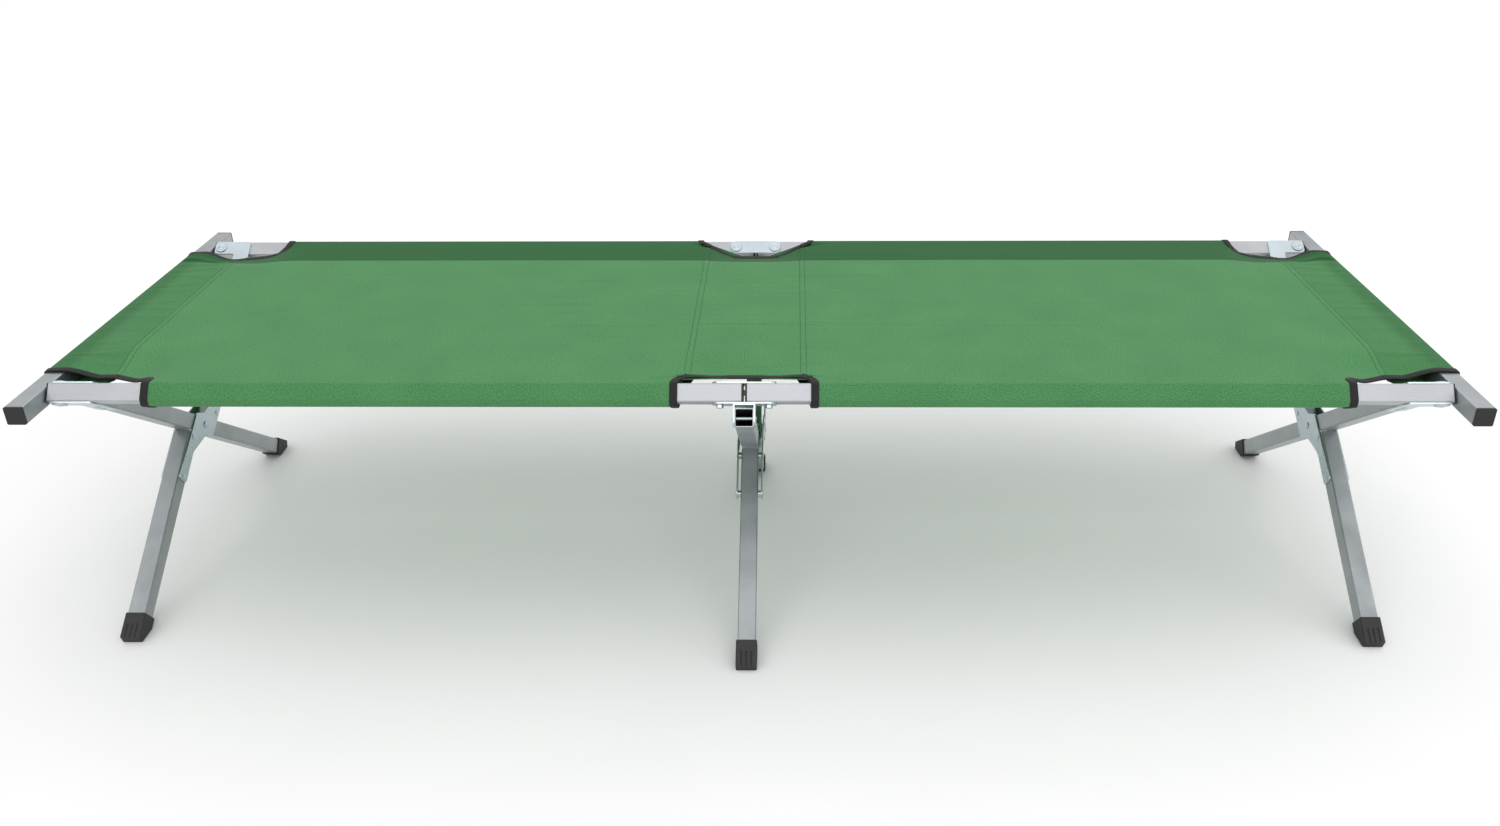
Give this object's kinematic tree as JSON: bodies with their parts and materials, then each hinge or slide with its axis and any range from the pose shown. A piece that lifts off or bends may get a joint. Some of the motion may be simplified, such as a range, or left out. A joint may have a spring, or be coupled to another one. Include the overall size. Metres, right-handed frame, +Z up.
{
  "type": "folding camp cot",
  "caption": "Folding camp cot: cloth bed on two hinged side rails, scissor legs of square tube, end bars on pins, black boots.",
  "frame": {"origin": "on the floor, at the middle of the cot's bounding box", "axes": "+X along the bed, +Y from the front side to the back side, +Z up"},
  "size_m": [1.9026, 0.7152, 0.386],
  "materials": {
    "satin_aluminium": "satin coated square tube",
    "zinc_plate": "bright blue zinc plated sheet steel",
    "steel_pin": "turned steel",
    "plug_plastic": "moulded black plastic",
    "boot_rubber": "moulded black rubber",
    "green_cloth": "woven green polyester"
  },
  "bodies": {
    "rear_frame": {"bed_sheet": "green_cloth", "left_cross_plates": "zinc_plate", "left_cross_rivets": "zinc_plate", "left_end_sleeve": "green_cloth", "left_front_boot": "boot_rubber", "left_lower_leg": "satin_aluminium", "left_upper_leg": "satin_aluminium", "middle_cross_plates": "zinc_plate", "middle_cross_rivets": "zinc_plate", "middle_cross_spacers": "zinc_plate", "middle_front_boot": "boot_rubber", "middle_lower_leg": "satin_aluminium", "middle_upper_leg": "satin_aluminium", "pivot_bolts": "zinc_plate", "rear_corner_plates": "zinc_plate", "rear_corner_rivets": "zinc_plate", "rear_end_pins": "steel_pin", "rear_end_plugs": "plug_plastic", "rear_hinge_bolts": "zinc_plate", "rear_hinge_lower_plate": "zinc_plate", "rear_hinge_nuts": "zinc_plate", "rear_hinge_upper_plate": "zinc_plate", "rear_left_rail": "satin_aluminium", "rear_leg_yoke": "zinc_plate", "rear_middle_plugs": "plug_plastic", "rear_rail_sleeves": "green_cloth", "rear_right_rail": "satin_aluminium", "right_cross_plates": "zinc_plate", "right_cross_rivets": "zinc_plate", "right_end_sleeve": "green_cloth", "right_front_boot": "boot_rubber", "right_lower_leg": "satin_aluminium", "right_upper_leg": "satin_aluminium"},
    "front_frame": {"front_corner_plates": "zinc_plate", "front_corner_rivets": "zinc_plate", "front_end_pins": "steel_pin", "front_end_plugs": "plug_plastic", "front_hinge_bolts": "zinc_plate", "front_hinge_lower_plate": "zinc_plate", "front_hinge_nuts": "zinc_plate", "front_hinge_upper_plate": "zinc_plate", "front_left_rail": "satin_aluminium", "front_leg_yoke": "zinc_plate", "front_middle_plugs": "plug_plastic", "front_rail_sleeves": "green_cloth", "front_right_rail": "satin_aluminium", "left_long_leg": "satin_aluminium", "left_rear_boot": "boot_rubber", "middle_leg_lugs": "zinc_plate", "middle_long_leg": "satin_aluminium", "middle_long_leg_rivets": "zinc_plate", "middle_rear_boot": "boot_rubber", "right_long_leg": "satin_aluminium", "right_rear_boot": "boot_rubber"},
    "left_end_bar": {"left_end_bar": "satin_aluminium", "left_bar_plugs": "plug_plastic"},
    "right_end_bar": {"right_end_bar": "satin_aluminium", "right_bar_plugs": "plug_plastic"}
  },
  "joints": [
    {"name": "frame_fold", "type": "hinge", "parent": "rear_frame", "child": "front_frame", "pos_m": [0, 0.0052, 0.18754], "axis": [-1, 0, 0], "range_deg": [0, 90], "deforming": ["bed_sheet", "left_end_sleeve", "right_end_sleeve"]},
    {"name": "left_bar_pull", "type": "slide", "parent": "rear_frame", "child": "left_end_bar", "axis": [-1, 0, 0], "range_m": [0, 0.1]},
    {"name": "right_bar_pull", "type": "slide", "parent": "rear_frame", "child": "right_end_bar", "axis": [1, 0, 0], "range_m": [0, 0.1]}
  ],
  "couplings": [
    {"joint": "left_bar_pull", "follows": "frame_fold", "m_per_rad": 0.063662},
    {"joint": "right_bar_pull", "follows": "frame_fold", "m_per_rad": 0.063662}
  ]
}
